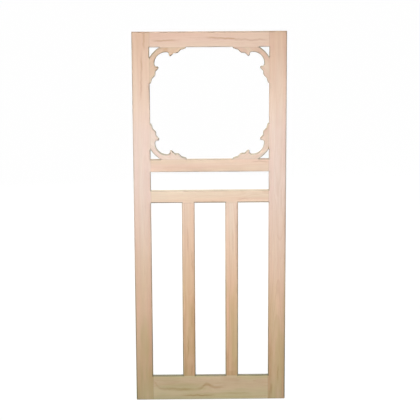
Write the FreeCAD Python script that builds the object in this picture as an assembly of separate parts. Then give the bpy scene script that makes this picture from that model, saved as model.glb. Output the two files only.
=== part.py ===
import FreeCAD, Part
import math
import os

# A wooden screen door leaf: two stiles, four rails, two mullions and a sawn
# scroll bracket in each corner of the upper opening. Millimetres.
# x runs from the hinge edge to the latch edge, y from the front to the back
# with 0 at mid thickness, z up from the bottom edge.

# Driving dimensions of the leaf
DOOR_WIDTH = 812.8
DOOR_HEIGHT = 2032.0
DOOR_THICKNESS = 28.6
STILE_WIDTH = 92.1
TOP_RAIL_HEIGHT = 81.0
UPPER_OPENING_HEIGHT = 600.1
FRIEZE_RAIL_HEIGHT = 68.3
STRIP_OPENING_HEIGHT = 101.6
LOCK_RAIL_HEIGHT = 68.3
BOTTOM_RAIL_HEIGHT = 138.1
MULLION_WIDTH = 68.3

# Glued mortise and tenon joints, tight on every face
TENON_THICKNESS = 9.5
RAIL_TENON_LENGTH = 50.0
RAIL_TENON_SHOULDER = 12.7
MULLION_TENON_LENGTH = 25.0
MULLION_TENON_SHOULDER = 9.5

# Rounding of the arrises around the leaf, the openings and the brackets
ARRIS_RADIUS = 6.4

# Scroll bracket: a ring across the corner and two equal legs
RING_FOOT = 55.0
RING_BACK = 24.1
HOLLOW_DEPTH = 26.2
HOLLOW_RADIUS = 60.2

# One leg's outline, from the hollow out to the toe: how far each feature runs along
# the leg, how high its corner stands and the radius that rounds it
THROAT_RADIUS = 11.8
THROAT_FLAT = 4.3
HOOK_LENGTH = 26.3
HOOK_HEIGHT = 56.8
HOOK_RADIUS = 7.0
NOTCH_HEIGHT = 31.3
NOTCH_RADIUS = 4.0
LEAF_LENGTH = 20.0
LEAF_HEIGHT = 31.3
LEAF_RADIUS = 18.5
COVE_LENGTH = 17.2
COVE_HEIGHT = 13.4
COVE_RADIUS = 6.0
LOBE_LENGTH = 11.9
LOBE_HEIGHT = 11.0
LOBE_RADIUS = 20.0
TOE_LENGTH = 13.5
TOE_HEIGHT = 5.5

# Places of the leg's corners, from the edge that the other leg is seated on
HOOK_PLACE = HOLLOW_DEPTH + HOLLOW_RADIUS + THROAT_FLAT + THROAT_RADIUS
NOTCH_PLACE = HOOK_PLACE + HOOK_LENGTH
LEAF_PLACE = NOTCH_PLACE + LEAF_LENGTH
COVE_PLACE = LEAF_PLACE + COVE_LENGTH
LOBE_PLACE = COVE_PLACE + LOBE_LENGTH
BRACKET_REACH = LOBE_PLACE + TOE_LENGTH

# Levels of the rails
BOTTOM_RAIL_TOP = BOTTOM_RAIL_HEIGHT
TOP_RAIL_BOTTOM = DOOR_HEIGHT - TOP_RAIL_HEIGHT
FRIEZE_RAIL_TOP = TOP_RAIL_BOTTOM - UPPER_OPENING_HEIGHT
FRIEZE_RAIL_BOTTOM = FRIEZE_RAIL_TOP - FRIEZE_RAIL_HEIGHT
LOCK_RAIL_TOP = FRIEZE_RAIL_BOTTOM - STRIP_OPENING_HEIGHT
LOCK_RAIL_BOTTOM = LOCK_RAIL_TOP - LOCK_RAIL_HEIGHT
RAIL_LEVELS = {
    "top_rail": (TOP_RAIL_BOTTOM, DOOR_HEIGHT),
    "frieze_rail": (FRIEZE_RAIL_BOTTOM, FRIEZE_RAIL_TOP),
    "lock_rail": (LOCK_RAIL_BOTTOM, LOCK_RAIL_TOP),
    "bottom_rail": (0, BOTTOM_RAIL_TOP),
}

# How near an edge lies to a stile or a rail to be on a bracket's seat
SEAT_TOLERANCE = 0.01

# Faces of the leaf and sides of the openings
FRONT = -DOOR_THICKNESS / 2
BACK = DOOR_THICKNESS / 2
LEFT_EDGE = STILE_WIDTH
RIGHT_EDGE = DOOR_WIDTH - STILE_WIDTH
LOWER_OPENING_WIDTH = (RIGHT_EDGE - LEFT_EDGE - 2 * MULLION_WIDTH) / 3
LEFT_MULLION_EDGE = LEFT_EDGE + LOWER_OPENING_WIDTH
RIGHT_MULLION_EDGE = RIGHT_EDGE - LOWER_OPENING_WIDTH - MULLION_WIDTH


def block(x_low, x_high, y_low, y_high, z_low, z_high):
    """A square-edged block between two corners."""
    corner = FreeCAD.Vector(x_low, y_low, z_low)
    return Part.makeBox(x_high - x_low, y_high - y_low, z_high - z_low, corner)


def full_depth(x_low, x_high, z_low, z_high):
    """A block as deep as the leaf is thick."""
    return block(x_low, x_high, FRONT, BACK, z_low, z_high)


def tenon(x_low, x_high, z_low, z_high):
    """A tenon, or the mortise it fills, in the middle of the thickness."""
    return block(x_low, x_high, -TENON_THICKNESS / 2, TENON_THICKNESS / 2, z_low, z_high)


def in_a_face(edge):
    """Whether an edge lies in the front or the back face."""
    return edge.BoundBox.YLength < ARRIS_RADIUS


def rounded_leaf():
    """The whole leaf with rounded arrises around both of its faces."""
    leaf = full_depth(0, DOOR_WIDTH, 0, DOOR_HEIGHT)
    return leaf.makeFillet(ARRIS_RADIUS, [edge for edge in leaf.Edges if in_a_face(edge)])


def opening_rounding(x_low, x_high, z_low, z_high):
    """What the rounding takes off both arrises of an opening, mitred in its corners."""
    x_out = x_low - ARRIS_RADIUS
    x_far = x_high + ARRIS_RADIUS
    z_out = z_low - ARRIS_RADIUS
    z_far = z_high + ARRIS_RADIUS
    along_x = FreeCAD.Vector(1, 0, 0)
    along_z = FreeCAD.Vector(0, 0, 1)
    waste = []
    for face, axis in ((FRONT, FRONT + ARRIS_RADIUS), (BACK, BACK - ARRIS_RADIUS)):
        rim = block(x_out, x_far, min(face, axis), max(face, axis), z_out, z_far)
        rods = []
        for x in (x_out, x_far):
            start = FreeCAD.Vector(x, axis, z_out)
            rods.append(Part.makeCylinder(ARRIS_RADIUS, z_far - z_out, start, along_z))
        for z in (z_out, z_far):
            start = FreeCAD.Vector(x_out, axis, z)
            rods.append(Part.makeCylinder(ARRIS_RADIUS, x_far - x_out, start, along_x))
        waste.append(rim.cut(rods))
    return waste


def bracket_seats():
    """Blocks over the arrises that the legs of the four brackets cover."""
    seats = []
    for z_edge, z_way in ((TOP_RAIL_BOTTOM, -1), (FRIEZE_RAIL_TOP, 1)):
        for x_edge, x_way in ((LEFT_EDGE, 1), (RIGHT_EDGE, -1)):
            x_ends = sorted((x_edge + x_way * RING_FOOT, x_edge + x_way * BRACKET_REACH))
            z_ends = sorted((z_edge + z_way * RING_FOOT, z_edge + z_way * BRACKET_REACH))
            seats.append(full_depth(x_ends[0], x_ends[1], z_edge - ARRIS_RADIUS, z_edge + ARRIS_RADIUS))
            seats.append(full_depth(x_edge - ARRIS_RADIUS, x_edge + ARRIS_RADIUS, z_ends[0], z_ends[1]))
    return seats


def upper_rounding():
    """Rounding around the upper opening, stopped where the brackets are seated."""
    waste = opening_rounding(LEFT_EDGE, RIGHT_EDGE, FRIEZE_RAIL_TOP, TOP_RAIL_BOTTOM)
    return [piece.cut(bracket_seats()) for piece in waste]


def strip_rounding():
    """Rounding around the strip opening between the frieze rail and the lock rail."""
    return opening_rounding(LEFT_EDGE, RIGHT_EDGE, LOCK_RAIL_TOP, FRIEZE_RAIL_BOTTOM)


def lower_rounding():
    """Rounding around the three tall openings beside the mullions."""
    waste = []
    for x_low in (LEFT_EDGE, LEFT_MULLION_EDGE + MULLION_WIDTH, RIGHT_MULLION_EDGE + MULLION_WIDTH):
        waste += opening_rounding(x_low, x_low + LOWER_OPENING_WIDTH, BOTTOM_RAIL_TOP, LOCK_RAIL_BOTTOM)
    return waste


def rail_tenons(z_low, z_high):
    """The two tenons at the ends of a rail."""
    z_from = z_low + RAIL_TENON_SHOULDER
    z_to = z_high - RAIL_TENON_SHOULDER
    return [
        tenon(LEFT_EDGE - RAIL_TENON_LENGTH, LEFT_EDGE, z_from, z_to),
        tenon(RIGHT_EDGE, RIGHT_EDGE + RAIL_TENON_LENGTH, z_from, z_to),
    ]


def mullion_tenons(x_low):
    """The stub tenons at the top and bottom of a mullion."""
    x_from = x_low + MULLION_TENON_SHOULDER
    x_to = x_low + MULLION_WIDTH - MULLION_TENON_SHOULDER
    return [
        tenon(x_from, x_to, LOCK_RAIL_BOTTOM, LOCK_RAIL_BOTTOM + MULLION_TENON_LENGTH),
        tenon(x_from, x_to, BOTTOM_RAIL_TOP - MULLION_TENON_LENGTH, BOTTOM_RAIL_TOP),
    ]


def stile(x_low, leaf, waste):
    """A stile from bottom to top, mortised for the four rails."""
    piece = full_depth(x_low, x_low + STILE_WIDTH, 0, DOOR_HEIGHT).common(leaf)
    mortises = []
    for z_low, z_high in RAIL_LEVELS.values():
        mortises += rail_tenons(z_low, z_high)
    return piece.cut(mortises + waste)


def rail(z_low, z_high, leaf, waste):
    """A rail between the stiles, with its tenons and its mullion mortises."""
    piece = full_depth(LEFT_EDGE, RIGHT_EDGE, z_low, z_high).common(leaf)
    mortises = mullion_tenons(LEFT_MULLION_EDGE) + mullion_tenons(RIGHT_MULLION_EDGE)
    return piece.cut(mortises + waste).fuse(rail_tenons(z_low, z_high))


def mullion(x_low, waste):
    """A mullion between the lock rail and the bottom rail, with its tenons."""
    piece = full_depth(x_low, x_low + MULLION_WIDTH, BOTTOM_RAIL_TOP, LOCK_RAIL_BOTTOM)
    return piece.cut(waste).fuse(mullion_tenons(x_low))


def rounded_line(start, corners, end):
    """Edges from start to end past corners, each rounded by its own radius."""
    edges = []
    points = [start] + [corner for corner, radius in corners] + [end]
    here = start
    for index, (corner, radius) in enumerate(corners):
        back = (points[index] - corner).normalize()
        onward = (points[index + 2] - corner).normalize()
        half_angle = back.getAngle(onward) / 2
        reach = radius / math.tan(half_angle)
        middle = corner + (back + onward).normalize() * (radius / math.sin(half_angle) - radius)
        edges.append(Part.LineSegment(here, corner + back * reach).toShape())
        here = corner + onward * reach
        edges.append(Part.Arc(corner + back * reach, middle, here).toShape())
    edges.append(Part.LineSegment(here, end).toShape())
    return edges


def bracket(x_edge, x_way, z_edge, z_way):
    """A scroll bracket in the corner of a stile's edge and a rail's edge."""

    def on_rail(point):
        return FreeCAD.Vector(x_edge + x_way * point[0], FRONT, z_edge + z_way * point[1])

    def on_stile(point):
        return on_rail((point[1], point[0]))

    foot = (RING_FOOT, 0)
    leg_end = (BRACKET_REACH, 0)
    toe = (BRACKET_REACH, TOE_HEIGHT)
    leg = [
        ((LOBE_PLACE, LOBE_HEIGHT), LOBE_RADIUS),
        ((COVE_PLACE, COVE_HEIGHT), COVE_RADIUS),
        ((LEAF_PLACE, LEAF_HEIGHT), LEAF_RADIUS),
        ((NOTCH_PLACE, NOTCH_HEIGHT), NOTCH_RADIUS),
        ((HOOK_PLACE, HOOK_HEIGHT), HOOK_RADIUS),
        ((HOOK_PLACE, HOLLOW_DEPTH), THROAT_RADIUS),
    ]
    corners = [(on_rail(corner), radius) for corner, radius in leg]
    corners.append((on_rail((HOLLOW_DEPTH, HOLLOW_DEPTH)), HOLLOW_RADIUS))
    corners += [(on_stile(corner), radius) for corner, radius in reversed(leg)]
    free_edges = rounded_line(on_rail(toe), corners, on_stile(toe))
    free_edges.append(Part.Arc(on_rail(foot), on_rail((RING_BACK, RING_BACK)), on_stile(foot)).toShape())
    seat_edges = []
    for place in (on_rail, on_stile):
        free_edges.append(Part.LineSegment(place(leg_end), place(toe)).toShape())
        seat_edges.append(Part.LineSegment(place(foot), place(leg_end)).toShape())
    outline = Part.Wire(Part.__sortEdges__(free_edges + seat_edges))
    piece = Part.Face(outline).extrude(FreeCAD.Vector(0, DOOR_THICKNESS, 0))

    def on_a_seat(edge):
        against_stile = max(abs(vertex.X - x_edge) for vertex in edge.Vertexes)
        against_rail = max(abs(vertex.Z - z_edge) for vertex in edge.Vertexes)
        return min(against_stile, against_rail) < SEAT_TOLERANCE

    arrises = [edge for edge in piece.Edges if in_a_face(edge) and not on_a_seat(edge)]
    return piece.makeFillet(ARRIS_RADIUS, arrises)


def door():
    """Every piece of the door by name."""
    leaf = rounded_leaf()
    waste = upper_rounding() + strip_rounding() + lower_rounding()
    pieces = {
        "hinge_stile": stile(0, leaf, waste),
        "latch_stile": stile(RIGHT_EDGE, leaf, waste),
    }
    for name, (z_low, z_high) in RAIL_LEVELS.items():
        pieces[name] = rail(z_low, z_high, leaf, waste)
    pieces["left_mullion"] = mullion(LEFT_MULLION_EDGE, waste)
    pieces["right_mullion"] = mullion(RIGHT_MULLION_EDGE, waste)
    pieces["top_left_bracket"] = bracket(LEFT_EDGE, 1, TOP_RAIL_BOTTOM, -1)
    pieces["top_right_bracket"] = bracket(RIGHT_EDGE, -1, TOP_RAIL_BOTTOM, -1)
    pieces["bottom_left_bracket"] = bracket(LEFT_EDGE, 1, FRIEZE_RAIL_TOP, 1)
    pieces["bottom_right_bracket"] = bracket(RIGHT_EDGE, -1, FRIEZE_RAIL_TOP, 1)
    return pieces


os.makedirs("parts", exist_ok=True)
for name, shape in door().items():
    solid = shape.removeSplitter()
    solid.exportStep("parts/" + name + ".step")
    print(name, len(solid.Solids), solid.isValid(), round(solid.Volume / 1000, 1), "cm3")
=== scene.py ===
"""Looks of the bare pine screen door: each board's grain, joints and arrises, and the studio round it."""
import math
from dataclasses import dataclass

import bmesh
import bpy
from mathutils import Matrix, Vector


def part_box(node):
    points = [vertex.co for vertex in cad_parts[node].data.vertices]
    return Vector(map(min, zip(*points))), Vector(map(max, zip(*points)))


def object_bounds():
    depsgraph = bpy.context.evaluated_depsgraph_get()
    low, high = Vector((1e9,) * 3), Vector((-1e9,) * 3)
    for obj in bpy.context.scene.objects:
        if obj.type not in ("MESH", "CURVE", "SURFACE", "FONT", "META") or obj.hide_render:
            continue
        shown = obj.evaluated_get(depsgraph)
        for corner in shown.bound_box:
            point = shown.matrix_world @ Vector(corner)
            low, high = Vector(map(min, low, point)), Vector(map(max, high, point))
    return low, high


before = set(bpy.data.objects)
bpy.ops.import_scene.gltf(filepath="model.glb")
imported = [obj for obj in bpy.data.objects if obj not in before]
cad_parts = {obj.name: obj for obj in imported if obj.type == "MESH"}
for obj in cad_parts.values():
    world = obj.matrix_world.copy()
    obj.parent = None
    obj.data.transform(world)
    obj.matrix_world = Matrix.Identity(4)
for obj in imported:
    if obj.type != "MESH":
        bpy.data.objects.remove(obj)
cad_low, cad_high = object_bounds()


def shade(red, green, blue):
    """A colour as a picture holds it, from 0 to 255, in linear light."""
    def to_light(part):
        """One channel in linear light."""
        part = part / 255
        if part <= 0.04045:
            return part / 12.92
        return ((part + 0.055) / 1.055) ** 2.4

    return (to_light(red), to_light(green), to_light(blue), 1.0)


# Places on the door, in metres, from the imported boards
MM = 0.001
LEFT_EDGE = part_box("hinge_stile")[1].x
RIGHT_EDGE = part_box("latch_stile")[0].x
BOTTOM_RAIL_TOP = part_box("bottom_rail")[1].z
LOCK_RAIL_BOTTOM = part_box("lock_rail")[0].z
FRIEZE_RAIL_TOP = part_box("frieze_rail")[1].z
TOP_RAIL_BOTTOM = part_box("top_rail")[0].z
DOOR_HEIGHT = cad_high.z
DOOR_MIDDLE = (cad_low + cad_high) / 2

# Camera, solved from the straight edges of the door in the photograph
PICTURE_SIDE_PX = 420
FOCAL_LENGTH_PX = 1750
SENSOR_WIDTH_MM = 36.0
CAMERA_PLACE = Vector((0.2920, -9.0827, 3.3764))
CAMERA_DIP = math.radians(14.2463)
CAMERA_TURN = math.radians(0.7244)
CAMERA_ROLL = math.radians(0.2326)

# How a board's grain lies on the door: the turn about Y that brings it upright, in degrees
GRAIN_TURN = {"upright": 0.0, "level": 90.0, "falling": 45.0, "rising": -45.0}

# Colours of the bare wood
STILE_PALE = shade(238, 219, 207)
STILE_BLUSH = shade(236, 211, 199)
TOP_RAIL_PALE = shade(243, 226, 220)
TOP_RAIL_BLUSH = shade(241, 218, 213)
FRIEZE_RAIL_PALE = shade(236, 213, 192)
FRIEZE_RAIL_BLUSH = shade(238, 209, 191)
LOCK_RAIL_PALE = shade(239, 220, 199)
LOCK_RAIL_BLUSH = shade(239, 213, 193)
BOTTOM_RAIL_PALE = shade(246, 237, 229)
BOTTOM_RAIL_BLUSH = shade(245, 232, 223)
LEFT_MULLION_PALE = shade(239, 217, 199)
LEFT_MULLION_BLUSH = shade(237, 208, 188)
RIGHT_MULLION_PALE = shade(243, 223, 209)
RIGHT_MULLION_BLUSH = shade(241, 216, 199)
BRACKET_PALE = shade(234, 218, 203)
BRACKET_BLUSH = shade(232, 208, 192)
BOTTOM_LEFT_BRACKET_PALE = shade(241, 225, 213)
BOTTOM_LEFT_BRACKET_BLUSH = shade(239, 216, 204)
TOP_RIGHT_BRACKET_PALE = shade(236, 219, 209)
TOP_RIGHT_BRACKET_BLUSH = shade(234, 210, 200)
LATE_WOOD = shade(203, 158, 120)
STREAK_BROWN = shade(196, 152, 116)

# Tints that multiply the wood's own colour, in linear light: painted shade, darker and yellower towards
# the foot and the head, where the light falls off. The first of each pair is a share of the door's height.
HEIGHT_SHADE_TINTS = [
    (0.00, (0.82, 0.765, 0.57, 1.0)),
    (0.07, (0.83, 0.725, 0.53, 1.0)),
    (0.12, (0.87, 0.75, 0.56, 1.0)),
    (0.28, (0.97, 0.85, 0.70, 1.0)),
    (0.40, (1.00, 0.94, 0.84, 1.0)),
    (0.60, (1.00, 1.00, 0.99, 1.0)),
    (0.74, (1.00, 1.00, 0.98, 1.0)),
    (0.82, (0.98, 0.96, 0.88, 1.0)),
    (1.00, (0.85, 0.75, 0.63, 1.0)),
]
END_GRAIN_TINT = (0.72, 0.66, 0.55, 1.0)
# Painted shade along the rounded edges, with some handling dirt; far darker near the foot
ARRIS_SHADE_AND_GRIME_TINT = (0.80, 0.79, 0.76, 1.0)
FOOT_ARRIS_SHADE_TINT = (0.34, 0.37, 0.27, 1.0)
# Painted shade on the down-facing edges of the lock rail
LOWER_ARRIS_SHADE_TINT = (0.50, 0.47, 0.42, 1.0)
# Painted shade: side, top and bottom faces a little darker than the front and back
EDGE_TINT = (0.93, 0.93, 0.88, 1.0)
SAWN_EDGE_TINT = (0.77, 0.84, 0.80, 1.0)
# Up-facing ledges darker: partly dusty, partly painted shade; far darker near the foot
DUST_AND_SHADE_TINT = (0.78, 0.79, 0.74, 1.0)
FOOT_DUST_AND_SHADE_TINT = (0.20, 0.23, 0.17, 1.0)
JOINT_TINT = (0.45, 0.38, 0.30, 1.0)
# Painted shade in the crevices and inside corners
CREVICE_SHADE_TINT = (0.24, 0.21, 0.17, 1.0)
STAIN_TINT = (0.88, 0.93, 0.80, 1.0)

# Waves of noise to the metre, across, through and along the grain
SWAY_WAVES = (1.6, 1.6, 0.8)
TREMOR_WAVES = (11.0, 11.0, 5.0)
BLUSH_WAVES = (16.0, 16.0, 1.1)
STREAK_WAVES = (75.0, 75.0, 1.7)
FIBRE_WAVES = (620.0, 620.0, 9.0)
DUCT_WAVES = (480.0, 480.0, 26.0)

# Waves of noise to the metre on the door's own axes
PATCH_WAVES = (9.0, 9.0, 9.0)
STAIN_WAVES = (15.0, 15.0, 15.0)
SAW_WAVES = (700.0, 6.0, 700.0)

# Strength of the noise at which an effect begins and is full
PLAIN_NOISE = (0.3, 0.7)
BLUSH_NOISE = (0.35, 0.65)
STREAK_NOISE = (0.38, 0.72)
DUCT_NOISE = (0.68, 0.78)
WAVER_NOISE = (0.2, 0.8)
STRAND_NOISE = (0.35, 0.60)
STAIN_NOISE = (0.40, 0.62)
SAW_NOISE = (0.35, 0.65)

# Growth rings; their seasons are shares of a year
TREMOR_REACH = 9 * MM
UNEVEN_WAVES_PER_YEAR = 0.31
UNEVEN_YEARS = 1.6
LATE_WOOD_GROWS = (0.25, 0.88)
LATE_WOOD_STOPS = (0.90, 1.0)
WEAKEST_YEAR = 0.35
BAND_WAVES = 42.0
FAINTEST_BAND = 0.45
BAND_DEPTH = 0.8

# Bare wood
DUCT_DEPTH = 0.35
DUCT_PIT = 0.4
FIBRE_SHADES = (0.95, 1.03)
FIBRE_ROUGHNESS = (0.65, 0.75)
LATE_WOOD_POLISH = 0.10
GRAIN_HEIGHT = 0.5
GLOSS = 0.25
RELIEF_STRENGTH = 0.35
RELIEF_DEPTH = 0.4 * MM

# Streaks, both resin streaks and a few lines of painted shade: the share of the length in which each end
# fades, the waver, and the strands along and across
STREAK_FADE = 0.3
WAVER_WAVES = 23.0
WAVER_REACH = 3 * MM
STRAND_WAVES = (12.0, 420.0, 1.0)
STRAND_SHADES = (0.45, 1.1)

# Wear and painted shade, by height on the door in metres and by distance from joints and corners
FOOT_REACH = 1.1
# The door's bottom strip, and up-facing arrises near the foot, keep only this share of the painted arris
# shade
BOTTOM_EDGE_STRIP = (6 * MM, 14 * MM)
LESS_SHADED_ARRIS_SHARE = 0.25
CLEANEST_PATCH = 0.55
STAIN_STRETCH = 0.8
STAIN_FULL_BELOW = 0.25
STAIN_NONE_ABOVE = 1.0
END_GRAIN_DEPTH = 0.75
SEAM_REACH = (0.3 * MM, 0.7 * MM)
SEAM_DEPTH = 0.85
GLUE_REACH = 5 * MM
GLUE_DEPTH = 0.20
FAR_FROM_JOINTS = 1.0
# Painted shade in the crevices, found by ambient occlusion
CREVICE_REACH = 34 * MM
CREVICE_FULL_ABOVE = 2 * CREVICE_REACH
CREVICE_SAMPLES = 8
CREVICE_SHELTER = (0.45, 0.95)
LEDGE_CREVICE = 0.4

# Wear, painted shade and saw marks, by how far a surface faces the front or back, up, or along the grain
ARRIS_LEAVES_EDGE = (0.05, 0.45)
ARRIS_MEETS_FACE = (0.95, 1.0)
EDGE_ON = (0.0, 0.3)
UPPER_ARRIS = (0.10, 0.40)
LOWER_ARRIS = (-0.15, 0.0)
UP_FACING_LEDGE = (0.35, 0.85)
OPEN_LEDGE = (0.2, 0.8)
END_ON = (0.75, 0.95)
SAW_MARKS_FADE = (0.1, 0.5)
SAWN_EDGE_FADE = (0.55, 0.98)
SAW_MARK_DEPTH = 0.35
SAW_MARK_PIT = 0.6

# Studio
FLOOR_SIDE = 60.0
FLOOR_BOUNCE = (0.22, 0.21, 0.18, 1.0)
FLOOR_GLOW = 0.985
FLOOR_SHADOW_SHARE = 0.05
WORLD_LIGHT = (1.0, 0.99, 0.97, 1.0)
WORLD_STRENGTH = 0.20
BACKGROUND_STRENGTH = 1.0
WHITE = (1.0, 1.0, 1.0, 1.0)


@dataclass
class Lamp:
    """A soft lamp: its place and aim, its side in metres, its power in watts and its beam in degrees."""

    place: tuple
    aim: tuple
    side: float
    power: float
    beam: float = 180.0


LAMPS = {
    "key_lamp": Lamp((-4.4, -8.4, 8.35), (0.45, 0.0, 1.3), 2.0, 26.0, 24.0),
    "near_lamp": Lamp((0.5, -2.0, 1.9), (0.41, 0.0, 1.3), 1.0, 13.0),
    "back_lamp": Lamp((0.0, 4.6, 2.4), (0.4, 0.0, 1.1), 2.0, 205.0),
}


@dataclass
class Streak:
    """A dark streak, in metres but for its depth: its run along a board and its levels across. Most are
    resin streaks and stains; a few are painted shade along an edge or in a gap.
    """

    start: float
    end: float
    level_at_start: float
    level_at_end: float
    width: float
    depth: float
    bend_place: float = 0.0
    bend_height: float = 0.0
    bend_reach: float = 1.0


# A knot so far below the door that it bends no ring
NO_KNOT = (0.0, 0.0, -9.0)


@dataclass
class Board:
    """One board: how its grain lies, a point on its log's pith, its place along the log, its marks, and the
    painted shade on its lower arrises.
    """

    way: str
    pith: tuple
    log_start: float
    pale: tuple
    blush: tuple
    ring_strength: float = 0.22
    ring_spacing: float = 2.4 * MM
    wander: float = 0.05
    knot: tuple = NO_KNOT
    knot_reach: float = 0.03
    knot_pull: float = 0.0
    streaks: tuple = ()
    # Share of painted shade on the board's down-facing edges
    lower_arris: float = 0.0


BOARDS = {
    "hinge_stile": Board(
        "upright", (0.060, 0.075, 0), 0.0, STILE_PALE, STILE_BLUSH,
        streaks=(
            Streak(1.925, 2.050, 0.064, 0.065, 9 * MM, 0.52),
            Streak(1.640, 1.960, 0.046, 0.052, 8 * MM, 0.45, 1.630, -0.024, 0.040),
        )),
    "latch_stile": Board(
        "upright", (0.770, 0.085, 0), 7.3, STILE_PALE, STILE_BLUSH,
        streaks=(
            Streak(0.090, 0.205, 0.775, 0.776, 5 * MM, 0.55),
            Streak(-0.100, 0.420, 0.728, 0.734, 18 * MM, 0.40),
            Streak(-0.100, 0.140, 0.794, 0.796, 22 * MM, 0.22),
            Streak(0.020, 0.100, 0.736, 0.739, 12 * MM, 0.40),
            # Painted shade: a dark line down the right outer arris
            Streak(0.650, 1.250, 0.809, 0.809, 6 * MM, 0.45),
        )),
    "top_rail": Board(
        "level", (0, 0.060, 2.000), 3.1, TOP_RAIL_PALE, TOP_RAIL_BLUSH,
        streaks=(
            Streak(0.370, 0.600, 2.003, 1.992, 8 * MM, 0.68),
            Streak(0.540, 0.730, 1.990, 1.988, 7 * MM, 0.52),
            Streak(0.095, 0.260, 1.985, 1.990, 8 * MM, 0.60),
        )),
    "frieze_rail": Board(
        "level", (0, 0.090, 1.300), 11.7, FRIEZE_RAIL_PALE, FRIEZE_RAIL_BLUSH,
        streaks=(Streak(0.620, 0.740, 1.339, 1.335, 5 * MM, 0.50),)),
    "lock_rail": Board(
        "level", (0, 0.080, 1.160), 14.9, LOCK_RAIL_PALE, LOCK_RAIL_BLUSH,
        streaks=(
            Streak(0.545, 0.620, 1.132, 1.135, 5 * MM, 0.50),
            # Painted shade: a dark line along the lower arris above the middle opening
            Streak(0.300, 0.513, 1.117, 1.117, 9 * MM, 0.75),
        ),
        # Painted shade on the lock rail's down-facing edges
        lower_arris=1.0),
    "bottom_rail": Board(
        "level", (0, 0.060, 0.095), 18.2, BOTTOM_RAIL_PALE, BOTTOM_RAIL_BLUSH, ring_strength=0.24,
        knot=(0.390, -0.014, 0.075), knot_pull=0.020,
        streaks=(
            Streak(0.060, 0.360, 0.066, 0.058, 13 * MM, 0.42, 0.092, 0.045, 0.022),
            Streak(0.310, 0.500, 0.056, 0.075, 15 * MM, 0.52, 0.385, 0.026, 0.026),
            Streak(0.140, 0.300, 0.062, 0.059, 14 * MM, 0.20),
            Streak(0.230, 0.450, 0.023, 0.025, 7 * MM, 0.72),
            Streak(0.470, 0.640, 0.035, 0.034, 8 * MM, 0.20),
            Streak(0.450, 0.590, 0.120, 0.118, 30 * MM, 0.22),
            Streak(-0.200, 1.020, 0.096, 0.092, 46 * MM, 0.24),
        )),
    "left_mullion": Board(
        "upright", (0.300, 0.050, 0), 22.4, LEFT_MULLION_PALE, LEFT_MULLION_BLUSH,
        ring_strength=0.46, ring_spacing=5.5 * MM,
        streaks=(
            Streak(0.830, 0.990, 0.287, 0.286, 6 * MM, 0.35),
            Streak(0.720, 0.870, 0.312, 0.306, 6 * MM, 0.40),
            Streak(0.400, 0.560, 0.305, 0.307, 7 * MM, 0.35),
            Streak(0.220, 0.390, 0.283, 0.286, 5 * MM, 0.60),
            Streak(0.135, 0.210, 0.305, 0.306, 5 * MM, 0.45),
            Streak(0.110, 0.230, 0.290, 0.290, 45 * MM, 0.16),
        )),
    "right_mullion": Board(
        "upright", (0.555, 0.040, 0), 27.9, RIGHT_MULLION_PALE, RIGHT_MULLION_BLUSH,
        ring_strength=0.38, ring_spacing=5.5 * MM,
        streaks=(
            Streak(0.820, 0.980, 0.530, 0.527, 7 * MM, 0.30),
            Streak(0.120, 0.300, 0.498, 0.502, 7 * MM, 0.35),
            Streak(0.110, 0.240, 0.526, 0.529, 16 * MM, 0.30),
            Streak(0.126, 0.172, 0.522, 0.522, 50 * MM, 0.35),
            # Painted shade: a dark line down the mullion's right arris
            Streak(0.450, 1.300, 0.554, 0.554, 6 * MM, 0.60),
        )),
    "top_left_bracket": Board(
        "rising", (0.150, 0.070, 1.880), 30.5, BRACKET_PALE, BRACKET_BLUSH,
        streaks=(Streak(1.900, 1.970, 0.172, 0.180, 24 * MM, 0.45),)),
    "top_right_bracket": Board(
        "falling", (0.660, 0.080, 1.880), 33.3, TOP_RIGHT_BRACKET_PALE, TOP_RIGHT_BRACKET_BLUSH),
    "bottom_left_bracket": Board(
        "falling", (0.150, 0.065, 1.410), 36.1, BOTTOM_LEFT_BRACKET_PALE, BOTTOM_LEFT_BRACKET_BLUSH),
    "bottom_right_bracket": Board(
        "rising", (0.660, 0.075, 1.410), 39.8, BRACKET_PALE, BRACKET_BLUSH,
        streaks=(
            # Painted shade: a dark spot in the gap where the ring's end meets the stile
            Streak(1.388, 1.426, 0.716, 0.720, 7 * MM, 1.0),
            Streak(1.400, 1.600, 0.708, 0.708, 22 * MM, 0.26),
        )),
}


# Sockets of a Mix node that carry its two colours and the mixed one
FIRST_COLOUR = 6
SECOND_COLOUR = 7
MIXED_COLOUR = 2


# Node helpers
def feed(tree, socket, value):
    """Joins another node's output to a socket, or sets the socket to a plain value."""
    if isinstance(value, bpy.types.NodeSocket):
        tree.links.new(value, socket)
    elif value is not None:
        socket.default_value = value


def add(tree, kind, inputs=(), **settings):
    """A new shader node, its settings made and its inputs fed in order or by name."""
    made = tree.nodes.new("ShaderNode" + kind)
    for name, value in settings.items():
        setattr(made, name, value)
    pairs = inputs.items() if isinstance(inputs, dict) else enumerate(inputs)
    for key, value in pairs:
        feed(tree, made.inputs[key], value)
    return made


def reckon(tree, operation, *values):
    """A number worked out from others."""
    return add(tree, "Math", values, operation=operation).outputs[0]


def reckon_vector(tree, operation, *values):
    """A vector worked out from others."""
    return add(tree, "VectorMath", values, operation=operation).outputs["Vector"]


def scaled(tree, vector, size):
    """A vector made longer or shorter."""
    return add(tree, "VectorMath", {"Vector": vector, "Scale": size}, operation="SCALE").outputs["Vector"]


def dot(tree, first, second):
    """How far one vector points along another."""
    return add(tree, "VectorMath", (first, second), operation="DOT_PRODUCT").outputs["Value"]


def length_of(tree, vector):
    """A vector's length."""
    return add(tree, "VectorMath", (vector,), operation="LENGTH").outputs["Value"]


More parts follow.
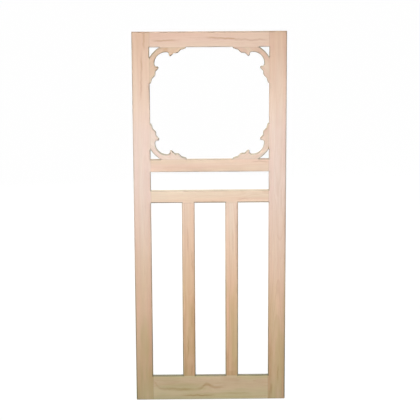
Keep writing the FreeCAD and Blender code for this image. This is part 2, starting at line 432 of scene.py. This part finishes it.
def ramp(tree, value, start, end, to_start=0.0, to_end=1.0, way="SMOOTHSTEP"):
    """A value carried smoothly from one range to another."""
    inputs = {"Value": value, "From Min": start, "From Max": end, "To Min": to_start, "To Max": to_end}
    return add(tree, "MapRange", inputs, interpolation_type=way).outputs["Result"]


def blend(tree, share, first, second, way="MIX"):
    """One colour laid over another by a share."""
    made = add(tree, "Mix", data_type="RGBA", blend_type=way)
    feed(tree, made.inputs["Factor"], share)
    feed(tree, made.inputs[FIRST_COLOUR], first)
    feed(tree, made.inputs[SECOND_COLOUR], second)
    return made.outputs[MIXED_COLOUR]


def tinted(tree, share, colour, tint):
    """A colour multiplied by a tint, as far as the share says."""
    return blend(tree, share, colour, tint, "MULTIPLY")


def noise(tree, place, waves, detail=2.0, roughness=0.5):
    """Noise with so many waves to the metre along each axis."""
    stretched = reckon_vector(tree, "MULTIPLY", place, waves)
    inputs = {"Vector": stretched, "Scale": 1.0, "Detail": detail, "Roughness": roughness}
    return add(tree, "TexNoise", inputs)


def noise_along(tree, value, waves, detail=2.0):
    """Noise along a single number."""
    inputs = {"W": reckon(tree, "MULTIPLY", value, waves), "Scale": 1.0, "Detail": detail}
    return add(tree, "TexNoise", inputs, noise_dimensions="1D").outputs[0]


def new_group(name, inputs, outputs):
    """An empty shader node group with named sockets; gives the group, its inputs and its results."""
    group = bpy.data.node_groups.new(name, "ShaderNodeTree")
    for socket, kind in inputs.items():
        group.interface.new_socket(socket, in_out="INPUT", socket_type="NodeSocket" + kind)
    for socket, kind in outputs.items():
        group.interface.new_socket(socket, in_out="OUTPUT", socket_type="NodeSocket" + kind)
    given = group.nodes.new("NodeGroupInput").outputs
    result = group.nodes.new("NodeGroupOutput").inputs
    return group, given, result


def place_group(tree, group, **inputs):
    """One use of a group; an input's words are joined by underscores."""
    made = tree.nodes.new("ShaderNodeGroup")
    made.node_tree = group
    for key, value in inputs.items():
        feed(tree, made.inputs[key.replace("_", " ").capitalize()], value)
    return made.outputs


# Finishes that the boards share
def make_growth_rings():
    """Rings round the pith, which runs along Z through the origin of the grain's own space."""
    group, given, result = new_group(
        "growth rings",
        {"Place": "Vector", "Spacing": "Float", "Wander": "Float",
         "Knot place": "Vector", "Knot reach": "Float", "Knot pull": "Float"},
        {"Late wood": "Float", "Band": "Float"})
    place = given["Place"]
    half = (0.5, 0.5, 0.5)
    sway = noise(group, place, SWAY_WAVES, detail=1.0).outputs["Color"]
    sway = scaled(group, reckon_vector(group, "SUBTRACT", sway, half), given["Wander"])
    tremor = noise(group, place, TREMOR_WAVES, detail=1.5).outputs["Color"]
    tremor = reckon_vector(group, "SUBTRACT", tremor, half)
    tremor = reckon_vector(group, "MULTIPLY", tremor, (TREMOR_REACH, TREMOR_REACH, 0.0))
    swayed = reckon_vector(group, "ADD", reckon_vector(group, "ADD", place, sway), tremor)
    radius = length_of(group, reckon_vector(group, "MULTIPLY", swayed, (1.0, 1.0, 0.0)))

    from_knot = length_of(group, reckon_vector(group, "SUBTRACT", place, given["Knot place"]))
    spread = reckon(group, "POWER", reckon(group, "DIVIDE", from_knot, given["Knot reach"]), 2.0)
    nearness = reckon(group, "EXPONENT", reckon(group, "MULTIPLY", spread, -1.0))
    radius = reckon(group, "ADD", radius, reckon(group, "MULTIPLY", given["Knot pull"], nearness))

    years = reckon(group, "DIVIDE", radius, given["Spacing"])
    uneven = noise_along(group, years, UNEVEN_WAVES_PER_YEAR)
    years = reckon(group, "ADD", years, reckon(group, "MULTIPLY", uneven, UNEVEN_YEARS))
    season = reckon(group, "FRACT", years)
    grown = ramp(group, season, *LATE_WOOD_GROWS)
    late = reckon(group, "MULTIPLY", grown, ramp(group, season, *LATE_WOOD_STOPS, 1.0, 0.0))
    year = {"W": reckon(group, "FLOOR", years)}
    year_strength = add(group, "TexWhiteNoise", year, noise_dimensions="1D").outputs["Value"]
    late = reckon(group, "MULTIPLY", late, ramp(group, year_strength, 0.0, 1.0, WEAKEST_YEAR, 1.0))
    feed(group, result["Late wood"], late)
    feed(group, result["Band"], ramp(group, noise_along(group, radius, BAND_WAVES), *PLAIN_NOISE))
    return group


def make_bare_pine(growth_rings):
    """Sanded, unfinished pine: its colour, its gloss and the height of its grain."""
    group, given, result = new_group(
        "bare pine",
        {"Place": "Vector", "Pale wood": "Color", "Blush wood": "Color", "Late wood": "Color",
         "Ring spacing": "Float", "Ring strength": "Float", "Wander": "Float",
         "Knot place": "Vector", "Knot reach": "Float", "Knot pull": "Float"},
        {"Color": "Color", "Roughness": "Float", "Height": "Float"})
    place = given["Place"]
    rings = place_group(
        group, growth_rings, place=place, spacing=given["Ring spacing"], wander=given["Wander"],
        knot_place=given["Knot place"], knot_reach=given["Knot reach"], knot_pull=given["Knot pull"])
    late = rings["Late wood"]
    blush = ramp(group, noise(group, place, BLUSH_WAVES).outputs[0], *BLUSH_NOISE)
    streak = noise(group, place, STREAK_WAVES, detail=3.0, roughness=0.6).outputs[0]
    streak = ramp(group, streak, *STREAK_NOISE)
    fibre = noise(group, place, FIBRE_WAVES, detail=2.0, roughness=0.6).outputs[0]
    duct = ramp(group, noise(group, place, DUCT_WAVES, detail=1.0).outputs[0], *DUCT_NOISE)

    colour = blend(group, blush, given["Pale wood"], given["Blush wood"])
    ring_share = reckon(group, "MULTIPLY", late, given["Ring strength"])
    banded = ramp(group, rings["Band"], 0.0, 1.0, FAINTEST_BAND, 1.0)
    ring_share = reckon(group, "MULTIPLY", ring_share, banded)
    colour = blend(group, ring_share, colour, given["Late wood"])
    band_share = reckon(group, "MULTIPLY", rings["Band"], streak)
    band_share = reckon(group, "MULTIPLY", band_share, given["Ring strength"])
    colour = blend(group, reckon(group, "MULTIPLY", band_share, BAND_DEPTH), colour, given["Late wood"])
    colour = blend(group, reckon(group, "MULTIPLY", duct, DUCT_DEPTH), colour, given["Late wood"])
    fibre_shade = ramp(group, fibre, *PLAIN_NOISE, *FIBRE_SHADES, "LINEAR")
    feed(group, result["Color"], tinted(group, 1.0, colour, fibre_shade))

    roughness = ramp(group, fibre, *PLAIN_NOISE, *FIBRE_ROUGHNESS, "LINEAR")
    polish = reckon(group, "MULTIPLY", late, LATE_WOOD_POLISH)
    feed(group, result["Roughness"], reckon(group, "SUBTRACT", roughness, polish))
    height = reckon(group, "MULTIPLY", reckon(group, "ADD", fibre, late), GRAIN_HEIGHT)
    pit = reckon(group, "MULTIPLY", duct, DUCT_PIT)
    feed(group, result["Height"], reckon(group, "SUBTRACT", height, pit))
    return group


def make_dark_streak():
    """A single dark streak along a board, with soft ends and one bend; it draws resin streaks, and in a few
    places a line of painted shade.
    """
    group, given, result = new_group(
        "dark streak",
        {"Along": "Float", "Across": "Float", "Start": "Float", "End": "Float",
         "Level at start": "Float", "Level at end": "Float", "Width": "Float",
         "Bend place": "Float", "Bend height": "Float", "Bend reach": "Float"},
        {"Streak": "Float"})
    along = given["Along"]
    share = reckon(group, "SUBTRACT", along, given["Start"])
    share = reckon(group, "DIVIDE", share, reckon(group, "SUBTRACT", given["End"], given["Start"]))
    level = ramp(group, share, 0.0, 1.0, given["Level at start"], given["Level at end"], "LINEAR")
    from_bend = reckon(group, "SUBTRACT", along, given["Bend place"])
    from_bend = reckon(group, "DIVIDE", from_bend, given["Bend reach"])
    spread = reckon(group, "MULTIPLY", from_bend, from_bend)
    bell = reckon(group, "EXPONENT", reckon(group, "MULTIPLY", spread, -1.0))
    level = reckon(group, "ADD", level, reckon(group, "MULTIPLY", bell, given["Bend height"]))
    waver = noise_along(group, along, WAVER_WAVES)
    waver = ramp(group, waver, *WAVER_NOISE, -WAVER_REACH, WAVER_REACH, "LINEAR")
    level = reckon(group, "ADD", level, waver)
    distance = reckon(group, "ABSOLUTE", reckon(group, "SUBTRACT", given["Across"], level))
    body = ramp(group, distance, 0.0, given["Width"], 1.0, 0.0)
    flat_place = add(group, "CombineXYZ", (along, given["Across"])).outputs["Vector"]
    strands = noise(group, flat_place, STRAND_WAVES).outputs[0]
    strands = ramp(group, strands, *STRAND_NOISE, *STRAND_SHADES)
    body = reckon(group, "MULTIPLY", body, strands)
    first_end = ramp(group, share, 0.0, STREAK_FADE)
    last_end = ramp(group, share, 1.0 - STREAK_FADE, 1.0, 1.0, 0.0)
    ends = reckon(group, "MULTIPLY", first_end, last_end)
    feed(group, result["Streak"], reckon(group, "MULTIPLY", body, ends))
    return group


def make_board_wear_and_shade():
    """What a finished board gathers, and the shade painted on it: stains, dark ends and seams; painted shade
    that darkens and yellows the foot and the head, lies along the arrises with some handling dirt, darkens
    the side faces and the lock rail's underside, and fills the crevices; and up-facing ledges darkened,
    partly dusty and partly painted shade.
    """
    group, given, result = new_group(
        "board wear and shade",
        {"Color": "Color", "Position": "Vector", "Normal": "Vector", "Grain way": "Vector",
         "Joint distance": "Float", "Lower arris": "Float"},
        {"Color": "Color"})
    position = given["Position"]
    patchy = noise(group, position, PATCH_WAVES, detail=3.0, roughness=0.6).outputs[0]
    patchy = ramp(group, patchy, *PLAIN_NOISE, CLEANEST_PATCH, 1.0)
    facing = add(group, "SeparateXYZ", (given["Normal"],)).outputs
    height = add(group, "SeparateXYZ", (position,)).outputs["Z"]

    # Painted shade: the wood darker and yellower towards the foot and the head, where the light falls off
    tint = add(group, "ValToRGB", (reckon(group, "DIVIDE", height, DOOR_HEIGHT),))
    stops = tint.color_ramp.elements
    while len(stops) < len(HEIGHT_SHADE_TINTS):
        stops.new(1.0)
    for stop, (share, colour) in zip(stops, HEIGHT_SHADE_TINTS):
        stop.position = share
        stop.color = colour
    colour = tinted(group, 1.0, given["Color"], tint.outputs["Color"])

    along_board = dot(group, position, given["Grain way"])
    run = scaled(group, given["Grain way"], reckon(group, "MULTIPLY", along_board, STAIN_STRETCH))
    drawn_out = reckon_vector(group, "SUBTRACT", position, run)
    stain = ramp(group, noise(group, drawn_out, STAIN_WAVES).outputs[0], *STAIN_NOISE)
    low_down = ramp(group, height, STAIN_FULL_BELOW, STAIN_NONE_ABOVE, 1.0, 0.0)
    stain = reckon(group, "MULTIPLY", stain, low_down)
    colour = tinted(group, stain, colour, STAIN_TINT)

    end_on = reckon(group, "ABSOLUTE", dot(group, given["Normal"], given["Grain way"]))
    end_grain = ramp(group, end_on, *END_ON, 0.0, END_GRAIN_DEPTH)
    colour = tinted(group, end_grain, colour, END_GRAIN_TINT)

    # Painted shade along the rounded edges, with some handling dirt, much darker towards the foot
    to_face = reckon(group, "ABSOLUTE", facing["Y"])
    off_edge = ramp(group, to_face, *ARRIS_LEAVES_EDGE)
    arris = reckon(group, "MULTIPLY", off_edge, ramp(group, to_face, *ARRIS_MEETS_FACE, 1.0, 0.0))
    above_foot = ramp(group, height, 0.0, FOOT_REACH)
    near_foot = reckon(group, "SUBTRACT", 1.0, above_foot)
    arris_shade_tint = blend(group, above_foot, FOOT_ARRIS_SHADE_TINT, ARRIS_SHADE_AND_GRIME_TINT)
    patchy_and_low = reckon(group, "MAXIMUM", patchy, near_foot)
    # Up-facing arrises near the foot, and every arris in the bottom strip, keep less of the painted shade,
    # so they read lit
    less_shaded_arris = reckon(group, "MULTIPLY", ramp(group, facing["Z"], *UPPER_ARRIS), near_foot)
    less_shaded_arris = reckon(group, "MAXIMUM", less_shaded_arris, ramp(group, height, *BOTTOM_EDGE_STRIP, 1.0, 0.0))
    arris_shade_share = ramp(group, less_shaded_arris, 0.0, 1.0, 1.0, LESS_SHADED_ARRIS_SHARE, "LINEAR")
    arris = reckon(group, "MULTIPLY", reckon(group, "MULTIPLY", arris, patchy_and_low), arris_shade_share)
    colour = tinted(group, arris, colour, arris_shade_tint)
    # Painted shade on down-facing edges, where a board asks for it
    lower_arris = ramp(group, facing["Z"], *LOWER_ARRIS, 1.0, 0.0)
    lower_arris = reckon(group, "MULTIPLY", lower_arris, given["Lower arris"])
    lower_arris = reckon(group, "MULTIPLY", lower_arris, ramp(group, to_face, *EDGE_ON))
    colour = tinted(group, lower_arris, colour, LOWER_ARRIS_SHADE_TINT)
    # Painted shade: side, top and bottom faces a little darker than the front
    colour = tinted(group, ramp(group, to_face, *EDGE_ON, 1.0, 0.0), colour, EDGE_TINT)
    # Up-facing ledges darker: partly dusty, partly painted shade, far darker near the foot
    dust_and_shade = reckon(group, "MULTIPLY", ramp(group, facing["Z"], *UP_FACING_LEDGE), patchy_and_low)
    colour = tinted(group, dust_and_shade, colour, blend(group, above_foot, FOOT_DUST_AND_SHADE_TINT, DUST_AND_SHADE_TINT))

    seam = ramp(group, given["Joint distance"], *SEAM_REACH, SEAM_DEPTH, 0.0)
    glue_line = ramp(group, given["Joint distance"], 0.0, GLUE_REACH, GLUE_DEPTH, 0.0)
    joint = reckon(group, "MULTIPLY", reckon(group, "MAXIMUM", seam, glue_line), patchy)
    colour = tinted(group, joint, colour, JOINT_TINT)
    # Painted shade in the crevices and inside corners, from ambient occlusion; weaker at the floor and on
    # ledges
    sheltered = add(group, "AmbientOcclusion", {"Distance": CREVICE_REACH}, samples=CREVICE_SAMPLES)
    crevice_shade = ramp(group, sheltered.outputs["AO"], *CREVICE_SHELTER, 1.0, 0.0)
    crevice_shade = reckon(group, "MULTIPLY", crevice_shade, ramp(group, height, 0.0, CREVICE_FULL_ABOVE))
    open_above = ramp(group, facing["Z"], *OPEN_LEDGE, 1.0, LEDGE_CREVICE)
    crevice_shade = reckon(group, "MULTIPLY", crevice_shade, open_above)
    feed(group, result["Color"], tinted(group, crevice_shade, colour, CREVICE_SHADE_TINT))
    return group


def make_saw_marks():
    """Fine marks that the saw leaves across a curved edge, from face to face."""
    group, given, result = new_group("saw marks", {"Position": "Vector", "Normal": "Vector"},
                                     {"Marks": "Float", "Edge": "Float"})
    lines = noise(group, given["Position"], SAW_WAVES, detail=1.0).outputs[0]
    lines = ramp(group, lines, *SAW_NOISE)
    to_face = reckon(group, "ABSOLUTE", add(group, "SeparateXYZ", (given["Normal"],)).outputs["Y"])
    on_edge = ramp(group, to_face, *SAW_MARKS_FADE, 1.0, 0.0)
    feed(group, result["Marks"], reckon(group, "MULTIPLY", lines, on_edge))
    feed(group, result["Edge"], ramp(group, to_face, *SAWN_EDGE_FADE, 1.0, 0.0))
    return group


growth_rings = make_growth_rings()
bare_pine = make_bare_pine(growth_rings)
dark_streak = make_dark_streak()
board_wear_and_shade = make_board_wear_and_shade()
saw_marks = make_saw_marks()


def joint_distance(tree, name, axes):
    """How far a point is from the nearest joint of its board with another."""
    def from_level(axis, level):
        """Distance from a level along one axis."""
        return reckon(tree, "ABSOLUTE", reckon(tree, "SUBTRACT", axes[axis], level))

    if name.endswith("rail"):
        ends = ("X", LEFT_EDGE), ("X", RIGHT_EDGE)
    elif name.endswith("mullion"):
        ends = ("Z", BOTTOM_RAIL_TOP), ("Z", LOCK_RAIL_BOTTOM)
    elif name.endswith("bracket"):
        ends = (("X", LEFT_EDGE if "left" in name else RIGHT_EDGE),
                ("Z", TOP_RAIL_BOTTOM if "top" in name else FRIEZE_RAIL_TOP))
    else:
        return FAR_FROM_JOINTS
    return reckon(tree, "MINIMUM", from_level(*ends[0]), from_level(*ends[1]))


def pine_material(name, board):
    """The finish of one board, painted shade included, on the door's own coordinates."""
    material = bpy.data.materials.new("pine_" + name)
    material.use_nodes = True
    tree = material.node_tree
    tree.nodes.clear()
    coordinates = add(tree, "TexCoord").outputs
    position = coordinates["Object"]
    axes = add(tree, "SeparateXYZ", (position,)).outputs

    grain_angle = math.radians(GRAIN_TURN[board.way])
    turn = Matrix.Rotation(grain_angle, 3, "Y")

    def in_grain(point):
        """A point on the door in the grain's own space, with the pith along Z."""
        return turn @ (Vector(point) - Vector(board.pith)) + Vector((0, 0, board.log_start))

    mapping = add(tree, "Mapping", (position,))
    mapping.inputs["Rotation"].default_value = (0, grain_angle, 0)
    mapping.inputs["Location"].default_value = in_grain((0, 0, 0))
    wood = place_group(
        tree, bare_pine, place=mapping.outputs["Vector"],
        pale_wood=board.pale, blush_wood=board.blush, late_wood=LATE_WOOD,
        ring_spacing=board.ring_spacing, ring_strength=board.ring_strength, wander=board.wander,
        knot_place=in_grain(board.knot), knot_reach=board.knot_reach, knot_pull=board.knot_pull)
    colour = wood["Color"]
    height = wood["Height"]

    along, across = (axes["X"], axes["Z"]) if board.way == "level" else (axes["Z"], axes["X"])
    # Resin streaks, and a few lines of painted shade along edges and in a gap
    for streak in board.streaks:
        mask = place_group(
            tree, dark_streak, along=along, across=across, start=streak.start, end=streak.end,
            level_at_start=streak.level_at_start, level_at_end=streak.level_at_end, width=streak.width,
            bend_place=streak.bend_place, bend_height=streak.bend_height, bend_reach=streak.bend_reach)
        depth = reckon(tree, "MULTIPLY", mask["Streak"], streak.depth)
        colour = blend(tree, depth, colour, STREAK_BROWN)

    if name.endswith("bracket"):
        sawn = place_group(tree, saw_marks, position=position, normal=coordinates["Normal"])
        colour = tinted(tree, sawn["Edge"], colour, SAWN_EDGE_TINT)
        depth = reckon(tree, "MULTIPLY", sawn["Marks"], SAW_MARK_DEPTH)
        colour = blend(tree, depth, colour, LATE_WOOD)
        pit = reckon(tree, "MULTIPLY", sawn["Marks"], SAW_MARK_PIT)
        height = reckon(tree, "SUBTRACT", height, pit)

    grain_way = turn.transposed() @ Vector((0, 0, 1))
    # Stains, dark ends, seams and the painted shade of the group
    worn_and_shaded = place_group(
        tree, board_wear_and_shade, color=colour, position=position, normal=coordinates["Normal"],
        grain_way=grain_way, joint_distance=joint_distance(tree, name, axes),
        lower_arris=board.lower_arris)
    relief = add(tree, "Bump", {"Strength": RELIEF_STRENGTH, "Distance": RELIEF_DEPTH, "Height": height})
    shader = add(tree, "BsdfPrincipled", {
        "Base Color": worn_and_shaded["Color"], "Roughness": wood["Roughness"],
        "Specular IOR Level": GLOSS, "Normal": relief.outputs["Normal"]})
    end = add(tree, "OutputMaterial")
    tree.links.new(shader.outputs["BSDF"], end.inputs["Surface"])
    return material


# The studio round the door
def seen_directly(tree):
    """One for rays that show the background, to the camera or in gloss and glass, and nought for light."""
    path = add(tree, "LightPath").outputs
    shown = reckon(tree, "MAXIMUM", path["Is Camera Ray"], path["Is Glossy Ray"])
    return reckon(tree, "MAXIMUM", shown, path["Is Transmission Ray"])


def make_floor():
    """A white floor that keeps the door's shadow."""
    mesh = bpy.data.meshes.new("floor")
    shape = bmesh.new()
    bmesh.ops.create_grid(shape, x_segments=1, y_segments=1, size=FLOOR_SIDE / 2)
    bmesh.ops.translate(shape, vec=(DOOR_MIDDLE.x, DOOR_MIDDLE.y, cad_low.z), verts=shape.verts)
    shape.to_mesh(mesh)
    shape.free()
    floor = bpy.data.objects.new("floor", mesh)
    bpy.context.scene.collection.objects.link(floor)
    material = bpy.data.materials.new("white_floor")
    material.use_nodes = True
    tree = material.node_tree
    tree.nodes.clear()
    glow = add(tree, "Emission", {"Color": WHITE, "Strength": FLOOR_GLOW})
    share = (FLOOR_SHADOW_SHARE, FLOOR_SHADOW_SHARE, FLOOR_SHADOW_SHARE, 1.0)
    shadowed = add(tree, "BsdfDiffuse", {"Color": share})
    shown = add(tree, "AddShader", (glow.outputs[0], shadowed.outputs[0]))
    bounce = add(tree, "BsdfDiffuse", {"Color": FLOOR_BOUNCE})
    mixed = add(tree, "MixShader", (seen_directly(tree), bounce.outputs[0], shown.outputs[0]))
    end = add(tree, "OutputMaterial")
    tree.links.new(mixed.outputs[0], end.inputs["Surface"])
    mesh.materials.append(material)


def make_world():
    """Even light from all round, and white where the camera sees past the floor."""
    world = bpy.data.worlds.new("white_studio")
    bpy.context.scene.world = world
    world.use_nodes = True
    tree = world.node_tree
    tree.nodes.clear()
    light = add(tree, "Background", {"Color": WORLD_LIGHT, "Strength": WORLD_STRENGTH})
    shown = add(tree, "Background", {"Color": WHITE, "Strength": BACKGROUND_STRENGTH})
    mixed = add(tree, "MixShader", (seen_directly(tree), light.outputs[0], shown.outputs[0]))
    end = add(tree, "OutputWorld")
    tree.links.new(mixed.outputs[0], end.inputs["Surface"])


def make_lamp(name, lamp):
    """One soft square lamp, turned to its aim."""
    light = bpy.data.lights.new(name, "AREA")
    light.shape = "SQUARE"
    light.size = lamp.side
    light.energy = lamp.power
    light.spread = math.radians(lamp.beam)
    made = bpy.data.objects.new(name, light)
    made.location = lamp.place
    made.rotation_euler = (Vector(lamp.aim) - Vector(lamp.place)).to_track_quat("-Z", "Y").to_euler()
    made.visible_camera = False
    bpy.context.scene.collection.objects.link(made)


def make_camera():
    """The camera that took the photograph, as solved."""
    camera = bpy.data.objects.new("camera", bpy.data.cameras.new("camera"))
    camera.data.sensor_width = SENSOR_WIDTH_MM
    camera.data.lens = FOCAL_LENGTH_PX / PICTURE_SIDE_PX * SENSOR_WIDTH_MM
    turn = Matrix.Rotation(-CAMERA_TURN, 4, "Z")
    dip = Matrix.Rotation(math.pi / 2 - CAMERA_DIP, 4, "X")
    roll = Matrix.Rotation(-CAMERA_ROLL, 4, "Z")
    camera.matrix_world = Matrix.Translation(CAMERA_PLACE) @ turn @ dip @ roll
    bpy.context.scene.collection.objects.link(camera)
    bpy.context.scene.camera = camera


for node_name, board in BOARDS.items():
    node_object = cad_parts[node_name]
    node_object.data.materials.clear()
    node_object.data.materials.append(pine_material(node_name, board))

make_floor()
make_world()
for lamp_name, lamp in LAMPS.items():
    make_lamp(lamp_name, lamp)
make_camera()
bpy.context.scene.view_settings.view_transform = "Standard"
